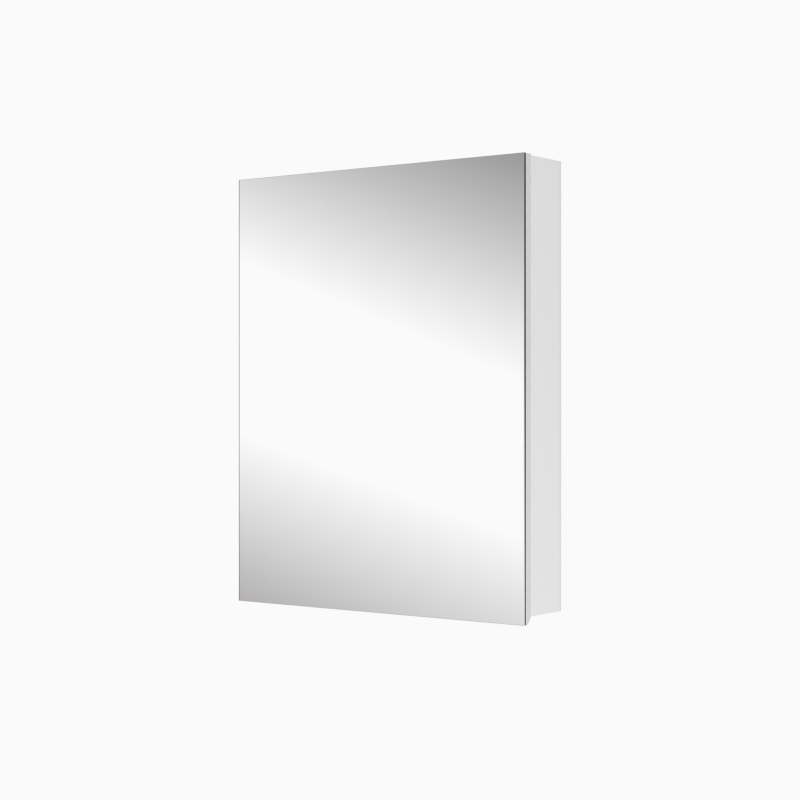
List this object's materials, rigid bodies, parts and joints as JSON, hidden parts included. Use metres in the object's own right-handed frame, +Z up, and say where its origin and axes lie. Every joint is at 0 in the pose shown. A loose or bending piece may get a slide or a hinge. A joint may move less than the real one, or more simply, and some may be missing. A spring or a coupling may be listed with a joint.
{
  "type": "medicine cabinet",
  "caption": "Wall-hung mirror cabinet: white carcass, glass shelves and a full-width mirrored door on concealed hinges.",
  "frame": {"origin": "middle of the four screw holes in the wall plates, on the wall plane", "axes": "+Z up, +Y into the wall, +X to the right seen from the front"},
  "size_m": [0.6, 0.115, 0.75],
  "materials": {
    "white_board": "white melamine facing on chipboard, fine matt",
    "white_edging": "white edging, fine matt",
    "white_back": "white lacquered fibreboard",
    "white_lacquer": "white lacquer on fibreboard, satin",
    "mirror": "silvered float glass with a ground edge",
    "tape": "foam mounting tape",
    "shelf_glass": "clear float glass, ground edges",
    "zinc": "cast zinc",
    "plated_steel": "zinc-plated steel",
    "nickel_steel": "nickel-plated steel, satin",
    "link_steel": "dark plated steel",
    "pin_steel": "bright steel",
    "spring_steel": "hardened spring steel, blued grey",
    "screw_steel": "zinc-plated steel",
    "white_plastic": "moulded plastic, fine grain",
    "clear_plastic": "clear soft plastic",
    "beech": "beech"
  },
  "bodies": {
    "cabinet": {"left_side": "white_board", "right_side": "white_board", "top_panel": "white_board", "bottom_panel": "white_board", "back_panel": "white_back", "front_edging": "white_edging", "cam_locks": "zinc", "cam_bolts": "plated_steel", "cam_caps": "white_plastic", "dowels": "beech", "upper_shelf": "shelf_glass", "lower_shelf": "shelf_glass", "shelf_pins": "nickel_steel", "shelf_pin_sleeves": "clear_plastic", "left_hanger_case": "white_plastic", "right_hanger_case": "white_plastic", "left_hanger_hook": "plated_steel", "right_hanger_hook": "plated_steel", "hanger_screws": "zinc", "left_wall_plate": "plated_steel", "right_wall_plate": "plated_steel", "door_buffers": "clear_plastic", "upper_hinge_plate": "nickel_steel", "lower_hinge_plate": "nickel_steel", "upper_hinge_arm": "nickel_steel", "lower_hinge_arm": "nickel_steel", "arm_pins": "pin_steel", "closing_springs": "spring_steel", "plate_screws": "screw_steel", "arm_screws": "screw_steel"},
    "long_links": {"upper_long_link": "link_steel", "lower_long_link": "link_steel"},
    "short_links": {"upper_short_link": "link_steel", "lower_short_link": "link_steel", "short_link_pins": "pin_steel"},
    "door": {"door_board": "white_lacquer", "mirror_glass": "mirror", "mirror_tape": "tape", "upper_hinge_cup": "nickel_steel", "lower_hinge_cup": "nickel_steel", "cup_pins": "pin_steel", "cup_screws": "screw_steel"}
  },
  "joints": [
    {"name": "long_link_swing", "type": "hinge", "parent": "cabinet", "child": "long_links", "pos_m": [-0.2653, -0.0889, -0.29275], "axis": [0, 0, -1], "range_deg": [-30.25, 0]},
    {"name": "door_swing", "type": "hinge", "parent": "long_links", "child": "door", "pos_m": [-0.2904, -0.098, -0.29275], "axis": [0, 0, -1], "range_deg": [0, 120.24]},
    {"name": "short_link_swing", "type": "hinge", "parent": "cabinet", "child": "short_links", "pos_m": [-0.2661, -0.1038, -0.29275], "axis": [0, 0, -1], "range_deg": [-37.2, 0]}
  ],
  "couplings": [
    {"joint": "long_link_swing", "follows": "door_swing", "ratio": -0.2515},
    {"joint": "short_link_swing", "follows": "door_swing", "ratio": -0.30913}
  ]
}
